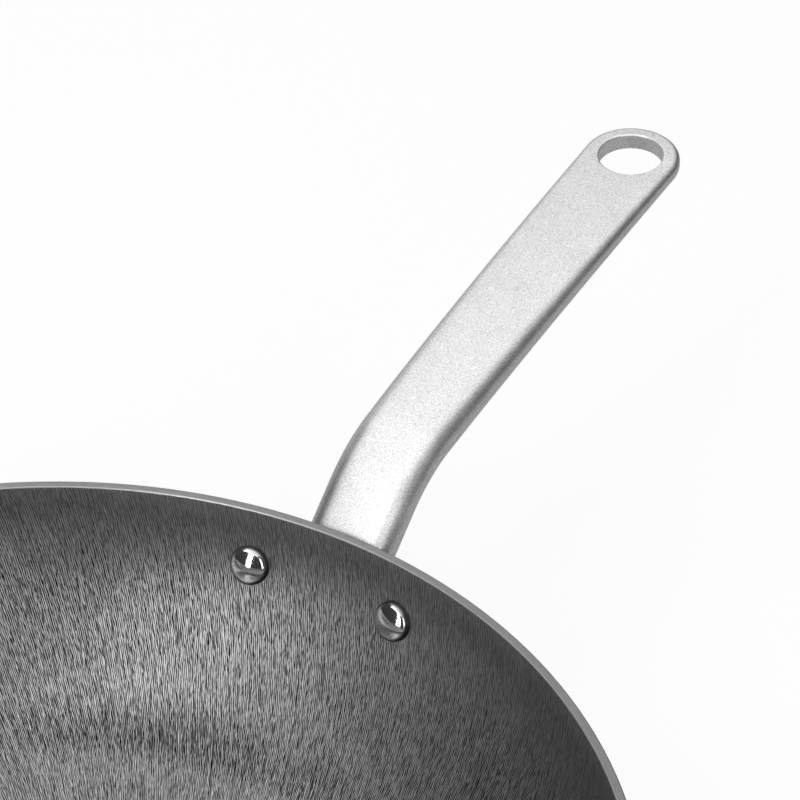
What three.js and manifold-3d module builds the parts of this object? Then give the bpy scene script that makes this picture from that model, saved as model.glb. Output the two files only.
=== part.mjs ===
// Cast iron wok with a riveted, cast stainless steel stick handle. Millimetres, +Z up.
// The origin is the centre of the flat underside and the handle points along +X.

import * as THREE from 'three';
import { mergeVertices } from 'three/addons/utils/BufferGeometryUtils.js';
import Module from 'manifold-3d';

const wasm = await Module();
wasm.setup();

const { clamp, degToRad, lerp } = THREE.MathUtils;

// Bowl: the wall runs out from the floor's edge to the rim, over a bend that is given inside, and the
// slope is its slope at the rim
const RIM_RADIUS = 160;
const INNER_DEPTH = 72.5;
const WALL_THICKNESS = 2.7;
const BASE_THICKNESS = 3.6;
const WALL_RUN = 78.5;
const BEND_RADIUS = 64;
const RIM_SLOPE = degToRad(80);

// Rivets: the head is the polished end inside the bowl, the tail is the end formed outside
const RIVET_DROP = 16.4;
const RIVET_SPACING = 47.7;
const SHANK_DIAMETER = 6;
const HEAD_DIAMETER = 11.8;
const HEAD_SKIRT = 0.8;
const HEAD_DOME = 2.5;
const TAIL_DIAMETER = 9.6;
const TAIL_SKIRT = 0.6;
const TAIL_DOME = 1.8;

// Handle: flange on the wall, neck up from it, shoulder over to the grip, round tip with its hole
const FLANGE_THICKNESS = 4.5;
const FLANGE_HEIGHT = 23;
const FLANGE_CHAMFER = 1.4;
const NECK_WIDTH = 27.3;
const NECK_THICKNESS = 11.2;
const NECK_EDGE = 5.4;
const NECK_LENGTH = 27.3;
const NECK_SLOPE = degToRad(39.5);
const FLARE_LENGTH = 14;
const FLARE_WIDTH = 8;
const FLARE_THICKNESS = 4;
const SHOULDER_RADIUS = 42;
const GRIP_LENGTH = 140.2;
const GRIP_SLOPE = degToRad(8.6);
const GRIP_BOW = 0.39;
const TIP_SLOPE = degToRad(4.3);
const TIP_WIDTH = 31;
const TIP_THICKNESS = 5.5;
const TIP_EDGE = 2.65;
const HOLE_DIAMETER = 20.4;

// Gap left between two pieces where they seat on or pass through each other
const CLEARANCE = 0.3;

// Cutting bodies reach this many times past what they cut
const OVERCUT = 2;

// Facets: the last ring of the tip lies at this turn about the hole
const BOWL_TURNS = 96;
const BOWL_STEPS = 4;
const RIVET_TURNS = 24;
const RIVET_STEPS = 3;
const CORNER_STEPS = 4;
const NECK_STEPS = 6;
const SHOULDER_STEPS = 6;
const GRIP_STEPS = 7;
const TIP_STEPS = 7;
const TIP_TURN = degToRad(84);
const WELD = 1e-4;

const IRON = { color: 0x55565a, roughness: 0.45, metalness: 0.9 };
const HANDLE_STEEL = { color: 0xd9d9d7, roughness: 0.4, metalness: 1 };
const RIVET_STEEL = { color: 0xdedede, roughness: 0.12, metalness: 1 };

const RIM_HEIGHT = INNER_DEPTH + BASE_THICKNESS;
const FLOOR_RADIUS = RIM_RADIUS - WALL_RUN;
const LIP_WIDTH = WALL_THICKNESS / Math.sin(RIM_SLOPE);
const DOWN = -Math.PI / 2;

// Cutting and joining
function toSolid(geometry) {
  const bare = geometry.clone();
  bare.deleteAttribute('normal');
  bare.deleteAttribute('uv');
  const welded = mergeVertices(bare, WELD);
  const corners = welded.index.array;
  const triangles = [];
  for (let i = 0; i < corners.length; i += 3) {
    const [a, b, c] = corners.slice(i, i + 3);
    if (a !== b && b !== c && c !== a) triangles.push(a, b, c);
  }
  const mesh = new wasm.Mesh({
    numProp: 3,
    vertProperties: new Float32Array(welded.attributes.position.array),
    triVerts: new Uint32Array(triangles),
  });
  return new wasm.Manifold(mesh);
}

function toGeometry(solid) {
  const mesh = solid.getMesh();
  const geometry = new THREE.BufferGeometry();
  geometry.setAttribute('position', new THREE.BufferAttribute(mesh.vertProperties, 3));
  geometry.setIndex(new THREE.BufferAttribute(mesh.triVerts, 1));
  geometry.computeVertexNormals();
  return geometry;
}

// A profile of radius and height, drawn with its outside climbing, turned about the Z axis
function turned(profile, steps, turns) {
  return new THREE.LatheGeometry(profile.getPoints(steps), turns).rotateX(Math.PI / 2);
}

// One face of the bowl: a flat floor, a bend, and one wall arc that leaves the bend smoothly and
// reaches the rim at the rim's slope
function bowlFace(rimRadius, floorHeight, bendRadius) {
  const rim = new THREE.Vector2(rimRadius, RIM_HEIGHT);
  const bendCentre = new THREE.Vector2(FLOOR_RADIUS, floorHeight + bendRadius);
  const inward = new THREE.Vector2(-Math.sin(RIM_SLOPE), Math.cos(RIM_SLOPE));
  const reach = rim.clone().sub(bendCentre);
  const wallRadius = (bendRadius ** 2 - reach.lengthSq()) / (2 * (reach.dot(inward) + bendRadius));
  const wallCentre = rim.clone().addScaledVector(inward, wallRadius);
  const meeting = bendCentre.clone().sub(wallCentre).divideScalar(wallRadius - bendRadius);
  const bendEnd = Math.atan2(meeting.y, meeting.x);
  return { floorHeight, bendCentre, bendRadius, bendEnd, wallCentre, wallRadius };
}

const rimAngle = RIM_SLOPE + DOWN;
const outerFace = bowlFace(RIM_RADIUS, 0, BEND_RADIUS + BASE_THICKNESS);
const innerFace = bowlFace(RIM_RADIUS - LIP_WIDTH, BASE_THICKNESS, BEND_RADIUS);

function climb(profile, face, offset) {
  const { floorHeight, bendCentre, bendRadius, bendEnd, wallCentre, wallRadius } = face;
  profile.moveTo(0, floorHeight - offset);
  profile.lineTo(bendCentre.x, floorHeight - offset);
  profile.absarc(bendCentre.x, bendCentre.y, bendRadius + offset, DOWN, bendEnd);
  profile.absarc(wallCentre.x, wallCentre.y, wallRadius + offset, bendEnd, rimAngle);
}

function descend(profile, face) {
  const { floorHeight, bendCentre, bendRadius, bendEnd, wallCentre, wallRadius } = face;
  profile.absarc(wallCentre.x, wallCentre.y, wallRadius, rimAngle, bendEnd, true);
  profile.absarc(bendCentre.x, bendCentre.y, bendRadius, bendEnd, DOWN, true);
  profile.lineTo(0, floorHeight);
}

function bowl() {
  const profile = new THREE.Path();
  climb(profile, outerFace, 0);
  descend(profile, innerFace);
  return toSolid(turned(profile, BOWL_STEPS, BOWL_TURNS));
}

// The space that the handle keeps out of: the bowl's outside grown by the clearance, and all above it
function bowlSpace() {
  const profile = new THREE.Path();
  climb(profile, outerFace, CLEARANCE);
  profile.lineTo(RIM_RADIUS + CLEARANCE, RIM_HEIGHT);
  profile.lineTo(RIM_RADIUS + CLEARANCE, OVERCUT * RIM_HEIGHT);
  profile.lineTo(0, OVERCUT * RIM_HEIGHT);
  return toSolid(turned(profile, BOWL_STEPS, BOWL_TURNS));
}

// Rivet seat on the inside of the wall: its place, its axis pointing out, and the metal along that axis
const seatSlope = Math.acos((innerFace.wallCentre.y - RIM_HEIGHT + RIVET_DROP) / innerFace.wallRadius);
const seatAxis = new THREE.Vector2(Math.sin(seatSlope), -Math.cos(seatSlope));
const seat = innerFace.wallCentre.clone().addScaledVector(seatAxis, innerFace.wallRadius);
const seatTurn = Math.asin(RIVET_SPACING / 2 / seat.x);

function wallAlongSeat() {
  const start = seat.clone().sub(outerFace.wallCentre);
  const along = start.dot(seatAxis);
  return Math.sqrt(along ** 2 - start.lengthSq() + outerFace.wallRadius ** 2) - along;
}

const flangeStart = wallAlongSeat() + CLEARANCE;
const flangeEnd = flangeStart + FLANGE_THICKNESS;
const flangeMiddle = seat.clone().addScaledVector(seatAxis, (flangeStart + flangeEnd) / 2);

// Places a shape made along +Z on a rivet's axis: z = 0 on the inside of the wall, +Z out through it
function seatMatrix(side) {
  const tilt = new THREE.Matrix4().makeRotationY(Math.PI - seatSlope);
  const move = new THREE.Matrix4().makeTranslation(seat.x, 0, seat.y);
  const turn = new THREE.Matrix4().makeRotationZ(side * seatTurn);
  return turn.multiply(move).multiply(tilt);
}

function rivetHole(side) {
  const radius = SHANK_DIAMETER / 2 + CLEARANCE;
  const length = 2 * OVERCUT * flangeEnd;
  const drill = new THREE.CylinderGeometry(radius, radius, length, RIVET_TURNS).rotateX(Math.PI / 2);
  return toSolid(drill.applyMatrix4(seatMatrix(side)));
}

// Radius of the ball that a dome of this edge radius and height is cut from
const ballRadius = (edge, height) => (edge ** 2 + height ** 2) / (2 * height);

function rivet() {
  const headRadius = HEAD_DIAMETER / 2;
  const tailRadius = TAIL_DIAMETER / 2;
  const shankRadius = SHANK_DIAMETER / 2;
  const hollow = innerFace.wallRadius - Math.sqrt(innerFace.wallRadius ** 2 - headRadius ** 2);
  const headSeat = -CLEARANCE - hollow;
  const headTop = headSeat - HEAD_SKIRT - HEAD_DOME;
  const headBall = ballRadius(headRadius, HEAD_DOME);
  const tailSeat = flangeEnd + CLEARANCE;
  const tailTop = tailSeat + TAIL_SKIRT + TAIL_DOME;
  const tailBall = ballRadius(tailRadius, TAIL_DOME);
  const profile = new THREE.Path();
  profile.absarc(0, headTop + headBall, headBall, DOWN, DOWN + Math.asin(headRadius / headBall));
  profile.lineTo(headRadius, headSeat);
  profile.lineTo(shankRadius, headSeat);
  profile.lineTo(shankRadius, tailSeat);
  profile.lineTo(tailRadius, tailSeat);
  profile.absarc(0, tailTop - tailBall, tailBall, -DOWN - Math.asin(tailRadius / tailBall), -DOWN);
  return toGeometry(toSolid(turned(profile, RIVET_STEPS, RIVET_TURNS)));
}

// Flange: a ring that lies on the wall, its outer edges chamfered, cut to an outline with a round ear
// about each rivet
function flange() {
  const { wallCentre, wallRadius } = outerFace;
  const near = wallRadius + CLEARANCE;
  const far = near + FLANGE_THICKNESS;
  const shoulder = far - FLANGE_CHAMFER;
  const low = seatSlope + DOWN - FLANGE_HEIGHT / 2 / near;
  const high = seatSlope + DOWN + FLANGE_HEIGHT / 2 / near;
  const bevel = FLANGE_CHAMFER / far;
  const ring = new THREE.Path();
  ring.absarc(wallCentre.x, wallCentre.y, far, low + bevel, high - bevel);
  ring.lineTo(wallCentre.x + shoulder * Math.cos(high), wallCentre.y + shoulder * Math.sin(high));
  ring.absarc(wallCentre.x, wallCentre.y, near, high, low, true);
  ring.lineTo(wallCentre.x + shoulder * Math.cos(low), wallCentre.y + shoulder * Math.sin(low));
  ring.closePath();
  const ear = flangeMiddle.x * Math.sin(seatTurn);
  const outline = new THREE.Shape();
  outline.absarc(ear, flangeMiddle.y, FLANGE_HEIGHT / 2, DOWN, -DOWN);
  outline.absarc(-ear, flangeMiddle.y, FLANGE_HEIGHT / 2, -DOWN, DOWN + 2 * Math.PI);
  const plate = new THREE.ExtrudeGeometry(outline, { depth: 2 * RIM_RADIUS, bevelEnabled: false });
  const across = new THREE.Vector3(0, 1, 0);
  const up = new THREE.Vector3(0, 0, 1);
  const out = new THREE.Vector3(1, 0, 0);
  plate.applyMatrix4(new THREE.Matrix4().makeBasis(across, up, out));
  return toSolid(turned(ring, BOWL_STEPS, BOWL_TURNS)).intersect(toSolid(plate));
}

// Middle line of the handle in the X-Z plane, by distance from the middle of the flange
const shoulderLength = SHOULDER_RADIUS * (NECK_SLOPE - GRIP_SLOPE);
const shoulderStart = NECK_LENGTH;
const gripStart = shoulderStart + shoulderLength;
const tipStart = gripStart + GRIP_LENGTH;
const heading = (slope) => new THREE.Vector2(Math.cos(slope), Math.sin(slope));

const neckEnd = flangeMiddle.clone().addScaledVector(heading(NECK_SLOPE), NECK_LENGTH);

function shoulderPoint(slope) {
  const centre = neckEnd.clone().addScaledVector(heading(NECK_SLOPE + DOWN), SHOULDER_RADIUS);
  return centre.addScaledVector(heading(slope - DOWN), SHOULDER_RADIUS);
}

const gripFrom = shoulderPoint(GRIP_SLOPE);
const gripTurn = gripFrom.clone().addScaledVector(heading(GRIP_SLOPE), GRIP_LENGTH * GRIP_BOW);
const gripTo = gripTurn.clone().addScaledVector(heading(TIP_SLOPE), GRIP_LENGTH * (1 - GRIP_BOW));
const gripLine = new THREE.QuadraticBezierCurve(gripFrom, gripTurn, gripTo);

function middleLine(distance) {
  if (distance <= shoulderStart) {
    const point = flangeMiddle.clone().addScaledVector(heading(NECK_SLOPE), distance);
    return { point, slope: NECK_SLOPE };
  }
  if (distance <= gripStart) {
    const slope = NECK_SLOPE - (distance - shoulderStart) / SHOULDER_RADIUS;
    return { point: shoulderPoint(slope), slope };
  }
  if (distance <= tipStart) {
    const share = Math.min((distance - gripStart) / GRIP_LENGTH, 1);
    return { point: gripLine.getPointAt(share), slope: gripLine.getTangentAt(share).angle() };
  }
  const point = gripTo.clone().addScaledVector(heading(TIP_SLOPE), distance - tipStart);
  return { point, slope: TIP_SLOPE };
}

// Width, thickness and edge rounding at a distance: flared at the flange, even over the neck, tapered
// along the grip and rounded off about the hole at the tip
function sectionSize(distance) {
  const share = clamp((distance - gripStart) / GRIP_LENGTH, 0, 1);
  const flare = clamp(1 - distance / FLARE_LENGTH, 0, 1) ** 2;
  let width = lerp(NECK_WIDTH, TIP_WIDTH, share) + FLARE_WIDTH * flare;
  let thickness = lerp(NECK_THICKNESS, TIP_THICKNESS, share) + FLARE_THICKNESS * flare;
  const edge = lerp(NECK_EDGE, TIP_EDGE, share);
  const past = distance - tipStart;
  if (past > 0) {
    const tipRadius = TIP_WIDTH / 2;
    const rounding = Math.max(0, past - tipRadius + TIP_EDGE);
    width = 2 * Math.sqrt(tipRadius ** 2 - past ** 2);
    thickness -= 2 * (TIP_EDGE - Math.sqrt(TIP_EDGE ** 2 - rounding ** 2));
  }
  return { width, thickness, edge: Math.min(edge, width / 2, thickness / 2) };
}

function section(distance) {
  const { point, slope } = middleLine(distance);
  const { width, thickness, edge } = sectionSize(distance);
  const points = [];
  for (let corner = 0; corner < 4; corner += 1) {
    const sideways = corner === 0 || corner === 3 ? 1 : -1;
    const upwards = corner < 2 ? 1 : -1;
    for (let step = 0; step <= CORNER_STEPS; step += 1) {
      const angle = (corner + step / CORNER_STEPS) * Math.PI / 2;
      const across = sideways * (width / 2 - edge) + edge * Math.cos(angle);
      const above = upwards * (thickness / 2 - edge) + edge * Math.sin(angle);
      const lift = heading(slope - DOWN).multiplyScalar(above);
      points.push(new THREE.Vector3(point.x + lift.x, across, point.y + lift.y));
    }
  }
  return points;
}

function loft(sections) {
  const count = sections[0].length;
  const last = (sections.length - 1) * count;
  const index = [];
  for (let ring = 0; ring < sections.length - 1; ring += 1) {
    for (let i = 0; i < count; i += 1) {
      const next = (i + 1) % count;
      const [a, b] = [ring * count + i, ring * count + next];
      index.push(a, b, b + count, a, b + count, a + count);
    }
  }
  for (let i = 1; i < count - 1; i += 1) {
    index.push(0, i + 1, i, last, last + i, last + i + 1);
  }
  const geometry = new THREE.BufferGeometry().setFromPoints(sections.flat());
  geometry.setIndex(index);
  return geometry;
}

function handleStations() {
  const steps = (from, length, count) => {
    return Array.from({ length: count }, (_, i) => from + length * i / count);
  };
  const tip = Array.from({ length: TIP_STEPS }, (_, i) => {
    return tipStart + TIP_WIDTH / 2 * Math.sin(TIP_TURN * (i + 1) / TIP_STEPS);
  });
  return [
    -NECK_THICKNESS,
    ...steps(0, NECK_LENGTH, NECK_STEPS),
    ...steps(shoulderStart, shoulderLength, SHOULDER_STEPS),
    ...steps(gripStart, GRIP_LENGTH, GRIP_STEPS),
    tipStart,
    ...tip,
  ];
}

function hangingHole() {
  const radius = HOLE_DIAMETER / 2;
  const length = 2 * OVERCUT * TIP_THICKNESS;
  const drill = new THREE.CylinderGeometry(radius, radius, length, RIVET_TURNS);
  drill.rotateX(Math.PI / 2).rotateY(-TIP_SLOPE);
  return toSolid(drill.translate(gripTo.x, 0, gripTo.y));
}

function handle() {
  const stick = toSolid(loft(handleStations().map(section)));
  const casting = stick.add(flange()).subtract(bowlSpace());
  return casting.subtract(rivetHole(1)).subtract(rivetHole(-1)).subtract(hangingHole());
}

// Assembly
function piece(name, geometry, finish) {
  const mesh = new THREE.Mesh(geometry, new THREE.MeshStandardMaterial(finish));
  mesh.name = name;
  return mesh;
}

const wok = new THREE.Group();
const drilledBowl = bowl().subtract(rivetHole(1)).subtract(rivetHole(-1));
wok.add(piece('wok_body', toGeometry(drilledBowl), IRON));
wok.add(piece('handle', toGeometry(handle()), HANDLE_STEEL));
for (const [name, side] of [['rivet_left', 1], ['rivet_right', -1]]) {
  const mesh = piece(name, rivet(), RIVET_STEEL);
  mesh.applyMatrix4(seatMatrix(side));
  wok.add(mesh);
}

export default wok;
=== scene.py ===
# %% [markdown]
# # A cast iron wok with a riveted steel handle
# Four pieces make this wok: a round iron bowl, a cast steel handle and the two rivets that hold it. The
# measured solids are packed already, so this lesson loads them as a fixed frame and gives each one a finer
# mesh and a real finish. Everything stays in the frame's own axes: +Z up, +X along the handle.

# %% Load the frame
import bisect
import math

import bmesh
import bpy
from mathutils import Matrix, Vector


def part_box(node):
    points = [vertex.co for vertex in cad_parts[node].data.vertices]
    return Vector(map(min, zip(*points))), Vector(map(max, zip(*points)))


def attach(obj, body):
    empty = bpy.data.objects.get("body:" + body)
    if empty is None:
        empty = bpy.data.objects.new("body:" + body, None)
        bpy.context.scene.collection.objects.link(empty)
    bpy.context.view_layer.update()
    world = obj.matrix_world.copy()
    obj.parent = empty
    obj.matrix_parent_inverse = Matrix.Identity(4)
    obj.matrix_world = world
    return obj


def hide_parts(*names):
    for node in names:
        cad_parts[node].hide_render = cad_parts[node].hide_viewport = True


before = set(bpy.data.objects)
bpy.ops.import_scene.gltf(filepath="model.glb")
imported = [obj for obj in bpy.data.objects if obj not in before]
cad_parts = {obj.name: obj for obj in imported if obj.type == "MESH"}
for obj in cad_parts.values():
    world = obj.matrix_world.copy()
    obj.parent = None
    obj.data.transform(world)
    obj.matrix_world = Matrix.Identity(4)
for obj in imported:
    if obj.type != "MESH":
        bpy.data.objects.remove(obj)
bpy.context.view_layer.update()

MM = 0.001

# %% [markdown]
# ## The camera
# The picture was taken with a long lens from above and to one side, which is why the round rim hardly
# narrows with distance. The place and the look below were solved from the rim's ellipse, so the camera comes
# first and every later piece can be held against the picture.

# %% The camera
EYE = Vector((-427.38, -366.57, 658.01))
LOOK = Vector((0.68154, 0.40146, -0.61184))
SENSOR_WIDTH, FOCAL_LENGTH = 36, 144

lens = bpy.data.cameras.new("picture_camera")
lens.sensor_width = SENSOR_WIDTH
lens.lens = FOCAL_LENGTH
camera = bpy.data.objects.new("picture_camera", lens)
camera.location = EYE * MM
camera.rotation_euler = LOOK.to_track_quat("-Z", "Y").to_euler()
bpy.context.scene.collection.objects.link(camera)
bpy.context.scene.camera = camera
bpy.context.scene.view_settings.view_transform = "Standard"
print("camera", [round(v, 3) for v in camera.location])

# %% [markdown]
# ## The bowl's two faces
# A wok is pressed or cast round, so one profile turned about an axis gives all of it. Each face is a flat
# floor, a bend and one long wall arc that leaves the bend without a crease and reaches the rim at a fixed
# slope. That condition fixes the wall's radius, so it is worked out here and not guessed. The outer face
# keeps its own arc, which makes the wall thinner than the base, as on the real thing.

# %% The bowl's two faces
RIM_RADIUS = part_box("wok_body")[1].y / MM
RIM_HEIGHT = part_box("wok_body")[1].z / MM
LIP_WIDTH = 2.742
FLOOR_RADIUS = 81.5
BASE = 3.6
BEND = 64.0
RIM_SLOPE = math.radians(80)
RIM_TURN = RIM_SLOPE - math.pi / 2


class Face:
    """One face of the bowl in the plane of radius and height: bend and wall arc, with where they meet."""

    def __init__(self, rim_radius, floor, bend):
        self.rim_radius, self.bend = rim_radius, bend
        rim = Vector((rim_radius, RIM_HEIGHT))
        self.bend_centre = Vector((FLOOR_RADIUS, floor + bend))
        inward = Vector((-math.sin(RIM_SLOPE), math.cos(RIM_SLOPE)))
        reach = rim - self.bend_centre
        self.wall = (bend ** 2 - reach.length_squared) / (2 * (reach.dot(inward) + bend))
        self.wall_centre = rim + self.wall * inward
        meeting = (self.bend_centre - self.wall_centre) / (self.wall - bend)
        self.meeting = math.atan2(meeting.y, meeting.x)

    def steepness(self, radius):
        """Sine of the face's slope at a radius."""
        if radius <= FLOOR_RADIUS:
            return 0.0
        if radius < self.bend_centre.x + self.bend * math.cos(self.meeting):
            return (radius - self.bend_centre.x) / self.bend
        return (radius - self.wall_centre.x) / self.wall


inside = Face(RIM_RADIUS - LIP_WIDTH, BASE, BEND)
outside = Face(RIM_RADIUS, 0.0, BEND + BASE)
print(f"wall arcs: {inside.wall:.1f} mm inside, {outside.wall:.1f} mm outside")

# %% [markdown]
# ## Turning the bowl
# The profile is drawn the way a lathe hand would scribe it: a point is pulled along the floor, swung about
# the bend's centre, swung about the wall's centre, taken over the lip and brought back down the outside.
# Swinging a single point with the spin operator leaves exact arcs, and one more full spin turns the profile
# into the bowl.

# %% Turning the bowl
BOWL_TURNS = 192
DOWN = -math.pi / 2
WELD = 1e-4


def pull(bm, point, end, steps=1):
    """Draws a straight stretch from a point in equal steps and returns its far end."""
    start = point.co.copy()
    for step in range(1, steps + 1):
        point = bmesh.ops.extrude_vert_indiv(bm, verts=[point])["verts"][0]
        point.co = start.lerp(end, step / steps)
    return point


def swing(bm, point, centre, start, end, steps):
    """Draws an arc about a centre in the X-Z plane, from one angle to another, and returns its far end."""
    middle = (centre.x, 0, centre.y)
    made = bmesh.ops.spin(bm, geom=[point], cent=middle, axis=(0, 1, 0), angle=start - end, steps=steps)
    return next(item for item in made["geom_last"] if isinstance(item, bmesh.types.BMVert))


def turn_closed(bm, steps):
    """Turns the drawn profile once round the Z axis and closes the seam and the poles."""
    bmesh.ops.spin(bm, geom=bm.verts[:] + bm.edges[:], cent=(0, 0, 0), axis=(0, 0, 1),
                   angle=2 * math.pi, steps=steps, use_merge=True)
    bmesh.ops.remove_doubles(bm, verts=bm.verts[:], dist=WELD)
    bmesh.ops.recalc_face_normals(bm, faces=bm.faces[:])


def turned_bowl():
    """The bowl as a closed shell. A number at the end of a stroke is its count of steps."""
    bm = bmesh.new()
    tip = pull(bm, bm.verts.new((0, 0, BASE)), (FLOOR_RADIUS, 0, BASE), 10)
    tip = swing(bm, tip, inside.bend_centre, DOWN, inside.meeting, 18)
    tip = swing(bm, tip, inside.wall_centre, inside.meeting, RIM_TURN, 30)
    tip = pull(bm, tip, (RIM_RADIUS, 0, RIM_HEIGHT))
    tip = swing(bm, tip, outside.wall_centre, RIM_TURN, outside.meeting, 24)
    tip = swing(bm, tip, outside.bend_centre, outside.meeting, DOWN, 14)
    pull(bm, tip, (0, 0, 0), 8)
    turn_closed(bm, BOWL_TURNS)
    return bm


bowl_mesh = turned_bowl()
print("bowl:", len(bowl_mesh.faces), "faces")

# %% [markdown]
# ## The lip's edges
# The lip is ground flat, and its two edges are broken with a stone so that they don't cut. A bevel does the
# same: narrow on the inside, where the light catches it as a bright line, and a little wider outside.

# %% The lip's edges
INNER_BREAK, OUTER_BREAK = 0.35, 0.4
BREAK_STEPS = 3
NEAR = 0.01


def ring_edges(bm, radius, height):
    """The edges of the ring that lies at this radius and height."""
    def on_ring(vert):
        return abs(vert.co.xy.length - radius) < NEAR and abs(vert.co.z - height) < NEAR
    return [edge for edge in bm.edges if all(on_ring(vert) for vert in edge.verts)]


def break_edge(bm, edges, width, steps):
    """Rounds these edges over."""
    bmesh.ops.bevel(bm, geom=edges, offset=width, offset_type="OFFSET", affect="EDGES",
                    segments=steps, profile=0.5, material=-1)


for lip_radius, lip_break in ((inside.rim_radius, INNER_BREAK), (RIM_RADIUS, OUTER_BREAK)):
    lip_edges = ring_edges(bowl_mesh, lip_radius, RIM_HEIGHT)
    print("lip edge:", len(lip_edges), "edges broken by", lip_break, "mm")
    break_edge(bowl_mesh, lip_edges, lip_break, BREAK_STEPS)

# %% [markdown]
# ## Where the rivets sit
# Both rivets go square through the wall, 16.4 mm under the rim, so their seat is found on the inside arc:
# its place, the wall's slope there, and the turn to each side of the handle. The matrix made from these
# carries anything modelled along +Z onto a rivet's own axis, with zero on the inside of the wall.

# %% Where the rivets sit
RIVET_DROP = 16.4
RIVET_SPACING = 47.7
SIDES = {"rivet_left": 1, "rivet_right": -1}

seat_slope = math.acos((inside.wall_centre.y - RIM_HEIGHT + RIVET_DROP) / inside.wall)
seat = inside.wall_centre + inside.wall * Vector((math.sin(seat_slope), -math.cos(seat_slope)))
seat_turn = math.asin(RIVET_SPACING / 2 / seat.x)


def rivet_axis(side):
    """The placing matrix of the rivet on one side of the handle."""
    turn = Matrix.Rotation(side * seat_turn, 4, "Z")
    move = Matrix.Translation((seat.x, 0, seat.y))
    return turn @ move @ Matrix.Rotation(math.pi - seat_slope, 4, "Y")


print(f"rivet seat: radius {seat.x:.1f}, height {seat.y:.1f}, slope {math.degrees(seat_slope):.1f} degrees")

# %% [markdown]
# ## Drilling
# Holes are cut with a boolean, since a drill is exactly that: a plain cylinder taken away from the piece.
# The cutter is thrown away afterwards and the result is kept as the piece's own mesh. Each cutter is turned
# a little about its own axis, because a facet that runs exactly along an edge of the piece leaves slivers.

# %% Drilling
SHANK_RADIUS = 3.0
RIVET_HOLE = SHANK_RADIUS + 0.15
DRILL_LENGTH = 40
DRILL_FACETS = 64
CUTTER_TURN = Matrix.Rotation(math.radians(1.3), 4, "Z")


def new_object(name, bm):
    """Puts a finished bmesh into the scene as an object at the origin."""
    mesh = bpy.data.meshes.new(name)
    bm.to_mesh(mesh)
    bm.free()
    made = bpy.data.objects.new(name, mesh)
    bpy.context.scene.collection.objects.link(made)
    return made


def cut_out(piece, bm):
    """Takes a cutter's shape away from a piece and dissolves points left in the middle of an edge."""
    cutter = new_object("cutter", bm)
    cut = piece.modifiers.new("cutter", "BOOLEAN")
    cut.solver = "EXACT"
    cut.object = cutter
    whole = piece.data
    shown = piece.evaluated_get(bpy.context.evaluated_depsgraph_get())
    piece.data = bpy.data.meshes.new_from_object(shown)
    piece.modifiers.remove(cut)
    bpy.data.meshes.remove(whole)
    bpy.data.meshes.remove(cutter.data)
    bm = bmesh.new()
    bm.from_mesh(piece.data)
    bmesh.ops.dissolve_verts(bm, verts=[vert for vert in bm.verts if len(vert.link_edges) == 2])
    bm.to_mesh(piece.data)
    bm.free()


def drill_for_rivets(piece):
    """Drills both rivet holes through a piece."""
    for side in SIDES.values():
        bm = bmesh.new()
        bmesh.ops.create_cone(bm, cap_ends=True, segments=DRILL_FACETS, radius1=RIVET_HOLE,
                              radius2=RIVET_HOLE, depth=DRILL_LENGTH, matrix=rivet_axis(side) @ CUTTER_TURN)
        cut_out(piece, bm)


bowl = new_object("iron_bowl", bowl_mesh)
drill_for_rivets(bowl)
print("bowl:", len(bowl.data.polygons), "faces after drilling")

# %% [markdown]
# ## The run of the grain
# The inside is ground with a wheel that works its way round, which leaves fine scratches that lean 15
# degrees off the straight way up the wall. A flat pattern can't follow that on a bowl, so each point of the
# mesh gets two numbers in a UV map of its own: how far round a scratch has wandered by this radius, and how
# far up the wall the point lies. Together with the point's own angle they give every scratch a straight
# coordinate.

# %% The run of the grain
GRAIN_ANGLE = math.radians(15.2)
GRAIN_START = 4.0
GRAIN_STEP = 0.5
STEEPEST = 0.99


def grain_table():
    """Radius, wandering turn and length of the way, from the floor's centre out to the rim."""
    rows = [(GRAIN_START, 0.0, GRAIN_START)]
    while rows[-1][0] < RIM_RADIUS + GRAIN_STEP:
        radius, turn, way = rows[-1]
        step = GRAIN_STEP / math.sqrt(1 - min(inside.steepness(radius), STEEPEST) ** 2)
        rows.append((radius + GRAIN_STEP, turn + math.tan(GRAIN_ANGLE) * step / radius, way + step))
    return rows


grain_rows = grain_table()
grain_radii = [row[0] for row in grain_rows]


def grain_at(radius):
    """The turn and the way at any radius, between two rows of the table."""
    above = min(max(bisect.bisect(grain_radii, radius), 1), len(grain_rows) - 1)
    (low, turn_low, way_low), (high, turn_high, way_high) = grain_rows[above - 1:above + 1]
    share = max((radius - low) / (high - low), 0)
    return turn_low + share * (turn_high - turn_low), (way_low + share * (way_high - way_low)) * MM


print(f"a scratch wanders {math.degrees(grain_rows[-1][1]):.0f} degrees from the floor to the rim")

# %% [markdown]
# ## Three surfaces on one casting
# The inside is ground, the lip is ground flat, and the outside keeps the skin of the casting, also on the
# lip's broken outer edge. The faces are told apart by where they lie and point: the inside looks at the
# centre of its own wall arc, the lip looks straight up.

# %% Three surfaces on one casting
GROUND, LIP, SKIN = range(3)
LOOKS_UP = 0.3
AXIS_NEAR = 1.0


def surface_of(face):
    """Which of the three surfaces a face of the bowl belongs to."""
    middle = face.calc_center_median()
    radius = middle.xy.length
    if middle.z > RIM_HEIGHT - OUTER_BREAK and face.normal.z > LOOKS_UP:
        return SKIN if radius > RIM_RADIUS - OUTER_BREAK else LIP
    outward = middle.xy.normalized() if radius > AXIS_NEAR else Vector((1, 0))
    towards = inside.wall_centre - Vector((radius, middle.z))
    facing = Vector((face.normal.xy.dot(outward), face.normal.z)).dot(towards)
    return GROUND if facing > 0 else SKIN


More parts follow.
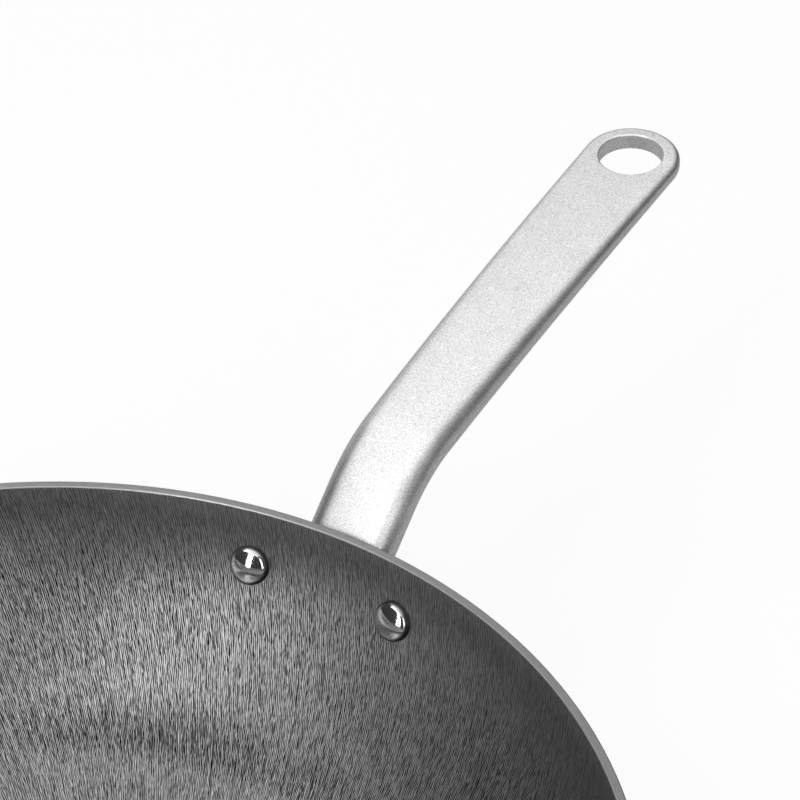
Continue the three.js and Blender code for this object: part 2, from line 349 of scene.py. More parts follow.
def mark_bowl(piece):
    """Gives each face its surface and each corner its grain numbers. Returns the faces of each surface."""
    bm = bmesh.new()
    bm.from_mesh(piece.data)
    grain = bm.loops.layers.uv.new("grain")
    counts = [0, 0, 0]
    for face in bm.faces:
        face.smooth = True
        face.material_index = surface_of(face)
        counts[face.material_index] += 1
        for corner in face.loops:
            corner[grain].uv = grain_at(corner.vert.co.xy.length)
    bm.to_mesh(piece.data)
    bm.free()
    return counts


print("faces inside, on the lip and outside:", mark_bowl(bowl))

# %% [markdown]
# ## The handle's loops
# The handle is one casting: a flange that lies on the wall, a neck that rises from it, a shoulder and a long
# flat grip. Its section is always a rectangle with round corners, given by its width, its thickness and the
# size of its corners, so one helper makes such a loop from a plain square by bevelling its four corners.
# Loops with the same count of points can then be bridged to each other.

# %% The handle's loops
NECK = (27.3, 11.2, 5.4)
CORNER_STEPS = 6
LONG_CUTS = 9
TOUCH = 1e-3


def loop(bm, width, height, corner, place):
    """One closed loop of edges, a rectangle with round corners, each point carried to its place."""
    square = bmesh.ops.create_grid(bm, x_segments=1, y_segments=1, size=0.5)["verts"]
    bmesh.ops.scale(bm, vec=(width, height, 1), verts=square)
    rounded = bmesh.ops.bevel(bm, geom=square, offset=corner, offset_type="OFFSET", affect="VERTICES",
                              segments=CORNER_STEPS, profile=0.5, material=-1)
    face = rounded["verts"][0].link_faces[0]
    level = height / 2 - TOUCH
    flats = [edge for edge in face.edges if all(abs(vert.co.y) > level for vert in edge.verts)]
    bmesh.ops.bisect_edges(bm, edges=flats, cuts=LONG_CUTS)
    verts, edges = face.verts[:], face.edges[:]
    bmesh.ops.delete(bm, geom=[face], context="FACES_ONLY")
    for vert in verts:
        vert.co = place(vert.co)
    return edges


def bridge(bm, loops):
    """Skins each loop to the next."""
    for first, second in zip(loops, loops[1:]):
        bmesh.ops.bridge_loops(bm, edges=first + second)


trial = bmesh.new()
print("points in a loop:", len(loop(trial, *NECK, Vector)))
trial.free()

# %% [markdown]
# ## The flange
# The flange is a plate with a round ear about each rivet, curved both ways to lie on the wall. It is drawn
# flat, as loops inside each other, and each point is then carried onto the wall: sideways becomes a turn
# about the bowl's axis, upwards a turn about the wall arc's centre. Its outer edge is rounded over in small
# steps.

# %% The flange
FLANGE_GAP = 0.1
FLANGE_WIDTH, FLANGE_HEIGHT, FLANGE_THICKNESS = 72.2, 23.0, 4.7
FLANGE_ROUND, FLANGE_EDGE, ROUND_STEPS = 1.6, 0.5, 4
BACK_INSETS = (10.5, 7, 3.5, FLANGE_EDGE)
ROOT, ROOT_RISE = (38, 18.4, 7), 0.4
EAR_SPARE = 0.05
flange_turn = seat_slope - math.pi / 2
flange_radius = outside.wall_centre.x + outside.wall * math.cos(flange_turn)


def on_wall(lift, rise=0.0):
    """Carries a flat point onto the outside of the wall, standing off by a lift and moved up by a rise."""
    def place(flat):
        tilt = flange_turn + (flat.y + rise) / outside.wall
        reach = outside.wall + FLANGE_GAP + lift
        radius = outside.wall_centre.x + reach * math.cos(tilt)
        swing_round = flat.x / flange_radius
        height = outside.wall_centre.y + reach * math.sin(tilt)
        return Vector((radius * math.cos(swing_round), radius * math.sin(swing_round), height))
    return place


def plate_loop(bm, inset, lift):
    """A loop of the flange's outline, drawn in by an inset."""
    height = FLANGE_HEIGHT - 2 * inset
    return loop(bm, FLANGE_WIDTH - 2 * inset, height, height / 2 - EAR_SPARE, on_wall(lift))


def flange(bm):
    """The flange from the middle of its back round to the front, ending in the loop where the neck starts."""
    back = [plate_loop(bm, inset, 0) for inset in BACK_INSETS]
    edge = [plate_loop(bm, 0, FLANGE_EDGE), plate_loop(bm, 0, FLANGE_THICKNESS - FLANGE_ROUND)]
    for step in range(1, ROUND_STEPS + 1):
        turn = math.pi / 2 * step / ROUND_STEPS
        inset = FLANGE_ROUND * (1 - math.cos(turn))
        edge.append(plate_loop(bm, inset, FLANGE_THICKNESS - FLANGE_ROUND * (1 - math.sin(turn))))
    root = loop(bm, *ROOT, on_wall(FLANGE_THICKNESS, ROOT_RISE))
    bridge(bm, back + edge + [root])
    bmesh.ops.edgeloop_fill(bm, edges=back[0])
    return root


print(f"flange: {FLANGE_WIDTH} by {FLANGE_HEIGHT} mm, on the wall where its radius is {flange_radius:.1f} mm")

# %% [markdown]
# ## The line of the handle
# Seen from the side, the handle climbs straight out of the flange, turns over the shoulder on an arc and
# then runs out along a grip that flattens a little towards its tip. The grip's slight bow is a curve of
# three points. Each station of the line gives a matrix that stands a loop square to it.

# %% The line of the handle
NECK_SLOPE, GRIP_SLOPE, TIP_SLOPE = (math.radians(angle) for angle in (39.5, 8.6, 4.3))
NECK_LENGTH, GRIP_LENGTH, GRIP_BOW = 27.3, 140.2, 0.39
SHOULDER_RADIUS = 42.0
FLANGE_MIDDLE = 5.237


def heading(slope):
    """The direction that climbs at a slope, in the plane of the handle's line."""
    return Vector((math.cos(slope), math.sin(slope)))


line_start = seat + FLANGE_MIDDLE * heading(flange_turn)
neck_end = line_start + NECK_LENGTH * heading(NECK_SLOPE)
shoulder_centre = neck_end + SHOULDER_RADIUS * heading(NECK_SLOPE - math.pi / 2)
grip_start = shoulder_centre + SHOULDER_RADIUS * heading(GRIP_SLOPE + math.pi / 2)
grip_turn = grip_start + GRIP_LENGTH * GRIP_BOW * heading(GRIP_SLOPE)
grip_end = grip_turn + GRIP_LENGTH * (1 - GRIP_BOW) * heading(TIP_SLOPE)


def grip_station(share):
    """A point of the bowed grip and its slope."""
    first, second = grip_start.lerp(grip_turn, share), grip_turn.lerp(grip_end, share)
    along = second - first
    return first.lerp(second, share), math.atan2(along.y, along.x)


def stand(point, slope):
    """The matrix that stands a loop on the line: across the handle, up from it, and along it."""
    return Matrix(((0, -math.sin(slope), math.cos(slope), point.x),
                   (1, 0, 0, 0),
                   (0, math.cos(slope), math.sin(slope), point.y),
                   (0, 0, 0, 1)))


print("hanging hole at", [round(v, 1) for v in grip_end], "mm")

# %% [markdown]
# ## Sweeping the stick
# The shoulder is a spin of the neck's loop about the shoulder's centre. Along the grip the section changes,
# from narrow and thick to wide and thin with ever smaller corners, so fresh loops are set at stations and
# bridged. The upper side is pillowed: a little high in the middle and low towards its edges, which is what
# turns a flat grey into a slow gradient. At the tip the right half of the last loop is spun half a turn
# about the hole's axis, which rounds the end off with the very same edge that runs along the sides.

# %% Sweeping the stick
TIP = (31.0, 5.5, 2.0)
SHOULDER_STEPS, GRIP_STATIONS, TIP_STEPS = 14, 18, 40
ROOT_GAP, ROOT_CUTS = 15.0, 8
CROWN, CROWN_MIDDLE = 0.11, 0.35


def stick_loop(bm, size, point, slope):
    """A loop standing on the handle's line, its upper side pillowed by a share of its thickness."""
    standing = stand(point, slope)
    width, thickness, corner = size

    def place(flat):
        out = (2 * flat.x / width) ** 2
        upper = max(2 * flat.y / thickness, 0)
        rise = CROWN * thickness * upper * (CROWN_MIDDLE - 0.5 * out - 0.5 * out ** 2)
        return standing @ Vector((flat.x, flat.y + rise, 0))
    return loop(bm, width, thickness, corner, place)


def last_edges(spun):
    """The edges at the far end of a spin."""
    return [item for item in spun["geom_last"] if isinstance(item, bmesh.types.BMEdge)]


def stick(bm):
    """The neck, shoulder, grip and tip. Returns the open loop at the neck's lower end."""
    low = stick_loop(bm, NECK, line_start + ROOT_GAP * heading(NECK_SLOPE), NECK_SLOPE)
    top = stick_loop(bm, NECK, neck_end, NECK_SLOPE)
    bridge(bm, [low, top])
    over = bmesh.ops.spin(bm, geom=top, cent=(shoulder_centre.x, 0, shoulder_centre.y), axis=(0, 1, 0),
                          angle=NECK_SLOPE - GRIP_SLOPE, steps=SHOULDER_STEPS)
    loops = [last_edges(over)]
    for station in range(1, GRIP_STATIONS + 1):
        share = station / GRIP_STATIONS
        size = [start + (end - start) * share for start, end in zip(NECK, TIP)]
        loops.append(stick_loop(bm, size, *grip_station(share)))
    bridge(bm, loops)
    right = [edge for edge in loops[-1] if all(vert.co.y > -TOUCH for vert in edge.verts)]
    up = heading(TIP_SLOPE + math.pi / 2)
    bmesh.ops.spin(bm, geom=right, cent=(grip_end.x, 0, grip_end.y), axis=(up.x, 0, up.y),
                   angle=-math.pi, steps=TIP_STEPS)
    return low


def cast_handle():
    """Flange and stick in one casting, with the root between them drawn as one smooth blend."""
    bm = bmesh.new()
    root = flange(bm)
    low = stick(bm)
    bmesh.ops.remove_doubles(bm, verts=bm.verts[:], dist=TOUCH)
    ends = [edge for edge in root + low if edge.is_valid]
    blend = bmesh.ops.bridge_loops(bm, edges=ends)
    bmesh.ops.subdivide_edgering(bm, edges=blend["edges"], interp_mode="SURFACE", smooth=1.0, cuts=ROOT_CUTS,
                                 profile_shape="SMOOTH", profile_shape_factor=0.0)
    bmesh.ops.recalc_face_normals(bm, faces=bm.faces[:])
    return bm


handle = new_object("steel_handle", cast_handle())
print("handle:", len(handle.data.polygons), "faces")

# %% [markdown]
# ## The hanging hole
# The hole at the tip is cut with a turned cutter that flares at both ends, so its edges come out eased: a
# hook would wear a sharp one. The flare is an arc that runs out into a shallow cone, as a countersink leaves
# it. The rivet holes go through the flange on the same axes as those in the bowl.

# %% The hanging hole
HOLE_RADIUS = 10.2
HOLE_EASE, EASE_DEPTH, EASE_STEPS = 0.4, 0.44, 4
FLARE_TURN = math.radians(60)
FLARE_RADIUS = HOLE_RADIUS + 4.0
CUTTER_HALF = 13.75
CUTTER_FACETS = 96


def flared_cutter(half):
    """A cutter for a hole through a plate of this half thickness, flared at both faces."""
    bm = bmesh.new()
    middle, level = HOLE_RADIUS + HOLE_EASE, half - EASE_DEPTH
    near = middle - HOLE_EASE * math.cos(FLARE_TURN)
    high = level + HOLE_EASE * math.sin(FLARE_TURN)
    end = high + (FLARE_RADIUS - near) / math.tan(FLARE_TURN)
    tip = pull(bm, bm.verts.new((0, 0, -CUTTER_HALF)), (FLARE_RADIUS, 0, -CUTTER_HALF))
    tip = pull(bm, tip, (FLARE_RADIUS, 0, -end))
    tip = pull(bm, tip, (near, 0, -high))
    tip = swing(bm, tip, Vector((middle, -level)), FLARE_TURN - math.pi, -math.pi, EASE_STEPS)
    tip = pull(bm, tip, (HOLE_RADIUS, 0, level))
    tip = swing(bm, tip, Vector((middle, level)), math.pi, math.pi - FLARE_TURN, EASE_STEPS)
    tip = pull(bm, tip, (FLARE_RADIUS, 0, end))
    tip = pull(bm, tip, (FLARE_RADIUS, 0, CUTTER_HALF))
    pull(bm, tip, (0, 0, CUTTER_HALF))
    turn_closed(bm, CUTTER_FACETS)
    return bm


hole_mesh = flared_cutter(TIP[1] / 2)
hole_place = stand(grip_end, TIP_SLOPE) @ Matrix.Rotation(-math.pi / 2, 4, "X")
bmesh.ops.transform(hole_mesh, matrix=hole_place @ CUTTER_TURN, verts=hole_mesh.verts[:])
cut_out(handle, hole_mesh)
drill_for_rivets(handle)
handle.data.shade_smooth()
print("handle:", len(handle.data.polygons), "faces after cutting")

# %% [markdown]
# ## The rivets
# A rivet is a turned piece: a polished head inside the bowl, nearly flat on top with a rounded edge, a shank
# through wall and flange, and a smaller dome formed outside. The profile is drawn with the same two strokes
# as the bowl's and turned about an axis, then carried to its seat. A UV map keeps each point's distance from
# that axis, because the finish needs to know where the seam round the head is.

# %% The rivets
HEAD_RADIUS, HEAD_HEIGHT, HEAD_CROWN, HEAD_EDGE = 5.9, 3.3, 13.0, 2.2
TAIL_RADIUS, TAIL_SKIRT, TAIL_DOME, TAIL_BREAK = 4.8, 0.6, 1.8, 0.5
FLANGE_END = 7.487
RIVET_TURNS = 64


def turned_rivet():
    """A rivet on the Z axis, its head down. A number at the end of a stroke is its count of steps."""
    bm = bmesh.new()
    seat_height = math.sqrt(inside.wall ** 2 - HEAD_RADIUS ** 2) - inside.wall
    top = seat_height - HEAD_HEIGHT
    crown_centre = Vector((0, top + HEAD_CROWN))
    crown_end = DOWN + math.asin((HEAD_RADIUS - HEAD_EDGE) / (HEAD_CROWN - HEAD_EDGE))
    edge_centre = crown_centre + (HEAD_CROWN - HEAD_EDGE) * heading(crown_end)
    skirt_end = FLANGE_END + TAIL_SKIRT
    dome = (TAIL_RADIUS ** 2 + TAIL_DOME ** 2) / (2 * TAIL_DOME)
    dome_centre = Vector((0, skirt_end + TAIL_DOME - dome))
    tip = swing(bm, bm.verts.new((0, 0, top)), crown_centre, DOWN, crown_end, 10)
    tip = swing(bm, tip, edge_centre, crown_end, 0, 14)
    tip = pull(bm, tip, (HEAD_RADIUS, 0, seat_height))
    tip = pull(bm, tip, (SHANK_RADIUS, 0, seat_height))
    tip = pull(bm, tip, (SHANK_RADIUS, 0, FLANGE_END))
    tip = pull(bm, tip, (TAIL_RADIUS, 0, FLANGE_END))
    tip = pull(bm, tip, (TAIL_RADIUS, 0, skirt_end))
    swing(bm, tip, dome_centre, -DOWN - math.asin(TAIL_RADIUS / dome), -DOWN, 12)
    turn_closed(bm, RIVET_TURNS)
    break_edge(bm, ring_edges(bm, TAIL_RADIUS, skirt_end), TAIL_BREAK, 4)
    lathe = bm.loops.layers.uv.new("lathe")
    for face in bm.faces:
        face.smooth = True
        for corner in face.loops:
            corner[lathe].uv = corner.vert.co.xy.length * MM, corner.vert.co.z * MM
    return bm


rivets = {}
for name, side in SIDES.items():
    rivet_mesh = turned_rivet()
    bmesh.ops.transform(rivet_mesh, matrix=rivet_axis(side), verts=rivet_mesh.verts[:])
    rivets[name] = new_object("polished_" + name, rivet_mesh)
    print(name, len(rivets[name].data.polygons), "faces")

# %% [markdown]
# ## Into the frame
# All pieces were drawn in millimetres, so each is shrunk to metres now. Each one rides on the only body
# there is and stands for its packed solid, which is hidden. A weighted-normal modifier lets the wide flats
# rule the shading, so that a flat face looks flat right up to its rounded edge.

# %% Into the frame
SHARP = math.radians(50)


def seat_piece(piece, node):
    """Brings a piece to metres, sets how it is shaded and ties it to the frame."""
    piece.data.transform(Matrix.Scale(MM, 4))
    piece.data.set_sharp_from_angle(angle=SHARP)
    weigh = piece.modifiers.new("flats_first", "WEIGHTED_NORMAL")
    weigh.keep_sharp = True
    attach(piece, "root")
    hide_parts(node)
    print(piece.name, "stands for", node)


seat_piece(bowl, "wok_body")
seat_piece(handle, "handle")
for name, piece in rivets.items():
    seat_piece(piece, name)

# %% [markdown]
# ## Numbers that change over a surface
# A finish is a material made of nodes, and most of those nodes do plain sums. A small class wraps a socket
# and overloads Python's own operators, so that a sum is written as a sum and adds its Math nodes by itself.

# %% Numbers that change over a surface
class Number:
    """A number that changes over a surface. Arithmetic on it adds Math nodes."""

    def __init__(self, finish, socket):
        self.finish, self.socket = finish, socket

    def __add__(self, other):
        return self.finish.math("ADD", self, other)

    def __sub__(self, other):
        return self.finish.math("SUBTRACT", self, other)

    def __rsub__(self, other):
        return self.finish.math("SUBTRACT", other, self)

    def __mul__(self, other):
        return self.finish.math("MULTIPLY", self, other)

    def __truediv__(self, other):
        return self.finish.math("DIVIDE", self, other)

    def __rtruediv__(self, other):
        return self.finish.math("DIVIDE", other, self)

    __radd__, __rmul__ = __add__, __mul__


print("a number has", [name for name, value in vars(Number).items() if callable(value)])

# %% [markdown]
# ## Writing finishes
# Every other node comes from one method, which takes the node's kind, its settings and what goes into its
# sockets. The helpers after it give the few nodes that these finishes use the names of what they do here.

# %% Writing finishes
class Finish:
    """A node tree under construction, for a material or for the world."""

    def __init__(self, name, tree):
        self.name, self.tree = name, tree

    def node(self, kind, settings=None, inputs=None, output=0):
        """Adds a node, sets it up, then fills its sockets with values or links. Returns the named outputs."""
        made = self.tree.nodes.new(kind)
        for name, value in (settings or {}).items():
            setattr(made, name, value)
        self.fill(made, inputs or {})
        if isinstance(output, tuple):
            return [Number(self, made.outputs[name]) for name in output]
        return Number(self, made.outputs[output])

    def fill(self, made, inputs):
        """Links or sets the sockets of a node."""
        for name, value in inputs.items():
            if isinstance(value, Number):
                self.tree.links.new(value.socket, made.inputs[name])
            else:
                made.inputs[name].default_value = value

    def dress(self, shader, inputs):
        """Fills the shader at the end of the tree and says how large the finish has become."""
        self.fill(shader, inputs)
        print(f"{self.name}: {len(self.tree.nodes)} nodes")

    def math(self, operation, *values):
        return self.node("ShaderNodeMath", {"operation": operation}, dict(enumerate(values)))

    def noise(self, vector, detail=2.0, roughness=0.5):
        return self.node("ShaderNodeTexNoise", {}, {"Vector": vector, "Scale": 1.0, "Detail": detail,
                                                    "Roughness": roughness})

    def speckle(self, per_metre, detail, roughness=0.5):
        """Noise in the piece's own space, with so many spots to the metre along X, Y and Z."""
        place = self.node("ShaderNodeTexCoord", output="Object")
        fine = self.node("ShaderNodeVectorMath", {"operation": "MULTIPLY"}, {0: place, 1: per_metre})
        return self.noise(fine, detail, roughness)

    def ease(self, value, start, end, low=0.0, high=1.0):
        """A smooth step from low to high while the value goes from start to end."""
        return self.node("ShaderNodeMapRange", {"interpolation_type": "SMOOTHSTEP"},
                         {0: value, 1: start, 2: end, 3: low, 4: high})

    def mix(self, share, first, second):
        """A colour between two others."""
        return self.node("ShaderNodeMix", {"data_type": "RGBA"}, {0: share, 6: first, 7: second}, 2)

    def bump(self, height, depth, strength):
        return self.node("ShaderNodeBump", {}, {"Height": height, "Distance": depth, "Strength": strength})

    def vector(self, x, y, z):
        return self.node("ShaderNodeCombineXYZ", {}, {0: x, 1: y, 2: z})

    def split(self, vector, *axes):
        """Some of a vector's numbers."""
        return self.node("ShaderNodeSeparateXYZ", {}, {0: vector}, axes)


def grey(level, warmth=0.0):
    """A near-neutral colour: warmth lifts red and lowers blue a little."""
    return (level * (1 + warmth), level, level * (1 - warmth), 1.0)


def new_finish(piece, name):
    """Starts a material on a piece and returns its finish and its shader."""
    material = bpy.data.materials.new(name)
    material.use_nodes = True
    piece.data.materials.append(material)
    return Finish(name, material.node_tree), material.node_tree.nodes["Principled BSDF"]


print("finish helpers:", [name for name in vars(Finish) if not name.startswith("_")])

# %% [markdown]
# ## Scratches from a wheel
# Inside, the wheel leaves scratches about half a millimetre apart and a few millimetres long. Seen from afar
# they blur into a sheen, but each one still shows as a bright or a dark line. A stretched noise looks cloudy
# at that size, so the scratches are sine waves across the grain whose phase wavers with such a noise: they
# stay fine, wander and break off.

# %% Scratches from a wheel
SCRATCH_LENGTH = 0.0029
WAVER, WAVER_WIDTH = 9, 6


def round_place(finish):
    """The point's distance from the bowl's axis and its angle about it."""
    x, y = finish.split(finish.node("ShaderNodeTexCoord", output="Object"), "X", "Y")
    return finish.math("SQRT", x * x + y * y), finish.math("ARCTAN2", y, x)


def along_grain(finish, angle, way, across, length):
    """A coordinate for streaks: so many to the radian across the grain, and of this length along it."""
    return finish.vector(finish.math("COSINE", angle) * across, finish.math("SINE", angle) * across,
                         way / length)


def scratches(finish, angle, way, counts):
    """Two sets of fine parallel scratches, so many round the bowl, that waver and break off."""
    sets = []
    for count in counts:
        place = along_grain(finish, angle, way, count / WAVER_WIDTH, SCRATCH_LENGTH)
        sets.append(finish.math("SINE", angle * count + WAVER * finish.noise(place, 1.0)))
    return 0.6 * sets[0] + 0.4 * sets[1]


print(f"scratches are {SCRATCH_LENGTH / MM} mm long, before they waver")

# %% [markdown]
# ## Ground iron
# The scratches drive the tone, the gloss and a shallow bump together. The wheel bit less deep near the rim,
# and there some scratches get painted glints of light in the tone; a painted shade darkens a ring at the foot
# of the wall. The last few millimetres under the lip get a painted highlight. All distances from the bowl's
# axis are in metres, as the shader has them.

# %% Ground iron
WALL_COUNTS, FLOOR_COUNTS = (1380, 1610), (940, 1130)
FLOOR_TO_WALL = (0.09, 0.12)
SHADE_RING_STARTS, SHADE_RING_ENDS = (0.1135, 0.1185), (0.1195, 0.132)
NEAR_RIM, UNDER_LIP = (0.146, 0.157), (0.1558, 0.1572)


def ground_iron():
    finish, shader = new_finish(bowl, "ground_iron")
    radius, angle = round_place(finish)
    turn, way = finish.split(finish.node("ShaderNodeUVMap", {"uv_map": "grain"}), "X", "Y")
    lean = angle - turn
    wall = scratches(finish, lean, way, WALL_COUNTS)
    base = scratches(finish, lean, way, FLOOR_COUNTS)
    lines = base + finish.ease(radius, *FLOOR_TO_WALL) * (wall - base)
    broken = finish.noise(along_grain(finish, lean, way, 420, 0.0035), 1.0)
    patch = finish.ease(finish.noise(along_grain(finish, lean, way, 100, 0.006), 2.0), 0.3, 0.7, 0.7, 1.05)
    cloud = finish.noise(along_grain(finish, lean, way, 9, 0.03), 3.0)
    near_rim = finish.ease(radius, *NEAR_RIM)
    depth = patch * (1 - 0.6 * near_rim)
    tone = 0.5 + lines * depth + 0.5 * (broken - 0.5) + 0.15 * (cloud - 0.5)
    # painted shade: a darker ring at the foot of the wall, painted into the tone
    ring = finish.ease(radius, *SHADE_RING_STARTS) - finish.ease(radius, *SHADE_RING_ENDS)
    # painted highlight: a lighter band in the tone just under the lip
    painted_lip_highlight = finish.ease(radius, *UNDER_LIP)
    # painted glints of light: some scratches near the rim made brighter in the tone
    painted_glints = near_rim * finish.ease(patch, 0.9, 1.0) * finish.math("MAXIMUM", lines - 0.3, 0.0)
    tone = tone + 0.17 * near_rim + 0.16 * painted_lip_highlight - 0.17 * ring + 0.5 * painted_glints
    shine = finish.math("POWER", finish.math("MAXIMUM", tone, 0.0), 1.6)
    finish.dress(shader, {
        "Base Color": finish.mix(shine, grey(0.006), grey(0.41)),
        "Metallic": 1.0,
        "Roughness": 0.42 - 0.08 * lines,
        "Anisotropic": 0.75,
        "Anisotropic Rotation": GRAIN_ANGLE / (2 * math.pi),
        "Normal": finish.bump(lines, 0.000012, 0.4),
    })


ground_iron()

# %% [markdown]
# ## The ground lip
# The lip is ground on a flat stone while the bowl turns, so its lines run round the rim. Its broken inner
# edge gets a painted highlight, a light line between the lip and the bowl.

# %% The ground lip
PAINTED_EDGE_HIGHLIGHT = (0.1575, 0.1577)


def ground_lip():
    finish, shader = new_finish(bowl, "ground_lip")
    radius, angle = round_place(finish)
    lines = finish.noise(finish.vector(angle * 12, radius * 9000, 0.0), 2.0)
    cloud = finish.noise(finish.vector(angle * 90, radius * 700, 0.0), 3.0)
    # painted highlight: the lip's inner edge is made lighter in the colour
    edge = finish.ease(radius, *PAINTED_EDGE_HIGHLIGHT, 0.5, 0.0)
    finish.dress(shader, {
        "Base Color": finish.mix(0.6 * lines + 0.4 * cloud + edge, grey(0.115), grey(0.35)),
        "Metallic": 1.0,
        "Roughness": 0.34 + 0.16 * cloud,
        "Anisotropic": 0.6,
        "Anisotropic Rotation": 0.25,
        "Normal": finish.bump(lines, 0.00003, 0.5),
    })


ground_lip()

# %% [markdown]
# ## The casting's skin
# Outside, the iron keeps the fine pebbled skin of the sand that it was poured into, dark and a little cloudy
# from the oil that was burnt onto it before it was packed.

# %% The casting's skin
PEBBLES, STAINS = (900.0,) * 3, (28.0,) * 3


def casting_skin():
    finish, shader = new_finish(bowl, "casting_skin")
    pebble = finish.speckle(PEBBLES, 3.0, 0.6)
    stain = finish.speckle(STAINS, 4.0, 0.6)
    tone = finish.ease(0.5 * pebble + 0.5 * stain, 0.36, 0.64)
    finish.dress(shader, {
        "Base Color": finish.mix(tone, grey(0.05), grey(0.18, 0.02)),
        "Metallic": 0.85,
        "Roughness": 0.42 + 0.3 * stain,
        "Normal": finish.bump(pebble, 0.00022, 0.7),
    })


casting_skin()

# %% [markdown]
# ## Blasted steel
# The handle is blasted with fine beads, which leaves an even satin that sparkles a little. Small dimples in
# the bump break the reflections up, and a faint speckle in the tone does the rest.

# %% Blasted steel
DIMPLES, SATIN_CLOUDS = (2600.0,) * 3, (140.0,) * 3


def blasted_steel():
    finish, shader = new_finish(handle, "blasted_steel")
    dimple = finish.speckle(DIMPLES, 2.0, 0.6)
    cloud = finish.speckle(SATIN_CLOUDS, 3.0)
    tone = finish.ease(0.88 * dimple + 0.12 * cloud, 0.3, 0.7)
    finish.dress(shader, {
        "Base Color": finish.mix(tone, grey(0.51), grey(0.9)),
        "Metallic": 1.0,
        "Roughness": 0.36 + 0.16 * cloud,
        "Normal": finish.bump(dimple, 0.00005, 0.6),
    })


blasted_steel()

# %% [markdown]
# ## Polished rivets
# The rivet heads are polished after they are set, so they mirror the bowl and the lamps. A trace of haze and
# a few hairlines keep them from looking like glass, and a painted shade darkens the seam round each head.

# %% Polished rivets
HAZE, HAIRLINES = (500.0,) * 3, (4000.0, 900.0, 900.0)
SEAM_SHADE = (0.0048, 0.0057)


def polished_steel(piece):
    finish, shader = new_finish(piece, "polished_steel")
    haze = finish.speckle(HAZE, 3.0)
    hair = finish.speckle(HAIRLINES, 1.0)
    out, = finish.split(finish.node("ShaderNodeUVMap", {"uv_map": "lathe"}), "X")
    # painted shade: the head's colour turns dark round its seam with the wall
    seam = finish.ease(out, *SEAM_SHADE)
    finish.dress(shader, {
        "Base Color": finish.mix(seam, finish.mix(haze, grey(0.72), grey(0.86)), grey(0.1)),
        "Metallic": 1.0,
        "Roughness": 0.06 + 0.06 * haze + 0.25 * seam,
        "Normal": finish.bump(0.5 * hair + 0.5 * haze, 0.00001, 0.1),
    })


for piece in rivets.values():
    polished_steel(piece)

# %% [markdown]
# ## The studio
# Ground and polished metal shows what it mirrors, so the wok stands in a dark room among softboxes. Two
# upright strips behind the camera draw the sheen on the bowl's wall and the bright marks on the rivets. Each
# panel lights one slope of the handle: behind and near for the neck, overhead and far for the grip, low on
# the horizon and at the right for its two edges. All are placed by their bearing from the camera's line of
# sight.

# %% The studio
AIM = Vector((60, 0, 50)) * MM
AWAY = Vector((LOOK.x, LOOK.y, 0)).normalized()
RIGHT = Vector((AWAY.y, -AWAY.x, 0))

# Bearing and elevation in degrees, then distance, width and height in metres, then radiance
SOFTBOXES = {
    "strip_left": (-143, 26, 1.0, 0.20, 1.0, 8.7),
    "strip_right": (157, 22, 1.0, 0.24, 0.8, 5.4),
    "panel_behind": (-172, 58, 1.1, 0.5, 0.4, 1.3),
    "panel_near": (-112, 57, 1.2, 0.8, 0.5, 1.9),
    "panel_overhead": (25, 77, 1.28, 1.9, 1.4, 1.5),
    "panel_far": (3, 32, 1.25, 1.3, 0.75, 0.82),
    "panel_horizon": (-24, 8, 1.4, 1.0, 0.36, 0.7),
    "panel_right": (100, 35, 1.2, 0.5, 0.5, 0.5),
}


def softbox(name, bearing, elevation, distance, width, height, radiance):
    """A lamp at a bearing from straight ahead, to the right if positive, aimed at the wok."""
    bearing, elevation = math.radians(bearing), math.radians(elevation)
    level = math.cos(bearing) * AWAY + math.sin(bearing) * RIGHT
    towards = math.cos(elevation) * level + math.sin(elevation) * Vector((0, 0, 1))
    lamp = bpy.data.lights.new(name, "AREA")
    lamp.shape = "RECTANGLE"
    lamp.size, lamp.size_y = width, height
    lamp.energy = radiance * math.pi * width * height
    box = bpy.data.objects.new(name, lamp)
    box.location = AIM + distance * towards
    box.rotation_euler = (-towards).to_track_quat("-Z", "Y").to_euler()
    bpy.context.scene.collection.objects.link(box)
    print(f"{name}: radiance {radiance}, {lamp.energy:.1f} W")


for name, values in SOFTBOXES.items():
    softbox(name, *values)

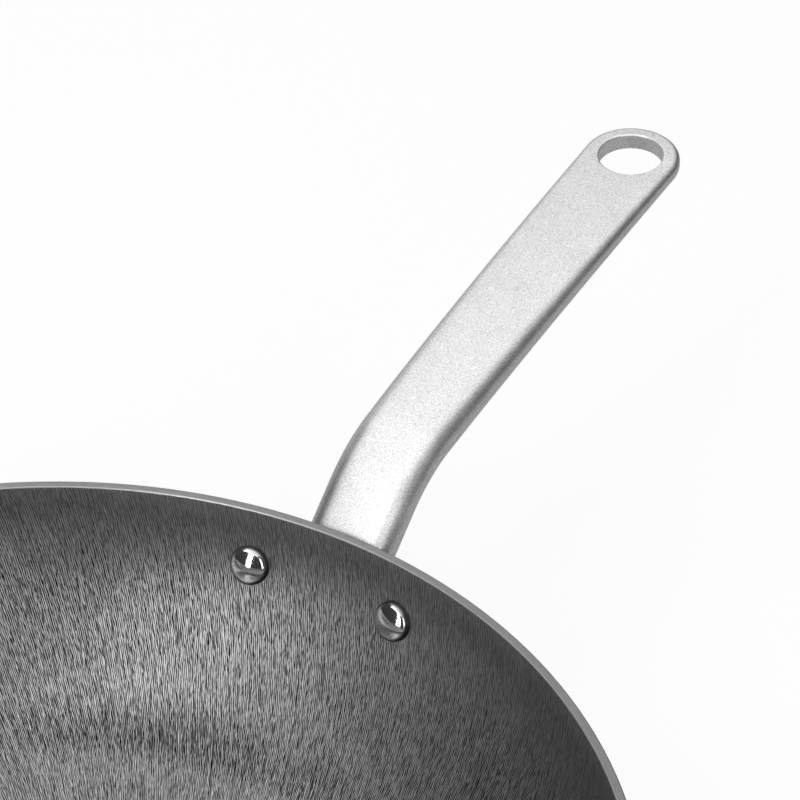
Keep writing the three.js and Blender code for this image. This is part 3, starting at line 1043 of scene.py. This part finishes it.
# %% [markdown]
# ## The surround
# The room is nearly black, a touch lighter overhead, so that the softboxes alone shape the metal, but to the
# camera it is white.

# %% The surround
SEEN_BY = ("Is Camera Ray", "Is Glossy Ray", "Is Transmission Ray")
HORIZON, OVERHEAD = -0.05, 0.9


def surround():
    world = bpy.data.worlds.new("surround")
    bpy.context.scene.world = world
    world.use_nodes = True
    finish = Finish("surround", world.node_tree)
    ray = finish.node("ShaderNodeTexCoord", output="Generated")
    height, = finish.split(ray, "Z")
    room = finish.mix(finish.ease(height, HORIZON, OVERHEAD), grey(0.02), grey(0.04))
    camera_ray, glossy, through = finish.node("ShaderNodeLightPath", output=SEEN_BY)
    share = 0.96 * camera_ray + 0.02 * glossy + 0.02 * through
    finish.dress(world.node_tree.nodes["Background"], {
        "Color": finish.mix(share, room, grey(1.0)),
        "Strength": 1.0,
    })


surround()

# %% [markdown]
# ## The floor
# The floor is pale and matt and keeps the wok's soft shadow. To the camera most of it glows a plain white,
# and metal mirrors a quarter of that glow. It lies a hair below the base, so that the two never share a face.

# %% The floor
FLOOR_SIZE, FLOOR_DROP = 3.0, 0.0004


def pale_floor():
    bm = bmesh.new()
    bmesh.ops.create_grid(bm, x_segments=2, y_segments=2, size=FLOOR_SIZE)
    bmesh.ops.translate(bm, vec=(0, 0, -FLOOR_DROP), verts=bm.verts[:])
    floor = new_object("pale_floor", bm)
    finish, shader = new_finish(floor, "pale_floor")
    camera_ray, glossy, through = finish.node("ShaderNodeLightPath", output=SEEN_BY)
    finish.fill(shader, {"Base Color": finish.mix(camera_ray, grey(0.3), grey(0.96)), "Roughness": 0.9})
    glow = finish.node("ShaderNodeEmission", {}, {"Color": grey(1.0), "Strength": 1.0})
    share = 0.88 * camera_ray + 0.25 * glossy + 0.25 * through
    matt = Number(finish, shader.outputs[0])
    both = finish.node("ShaderNodeMixShader", {}, {0: share, 1: matt, 2: glow})
    finish.dress(finish.tree.nodes["Material Output"], {"Surface": both})


pale_floor()

# %% [markdown]
# The dressed wok has to stay the size of the packed one.
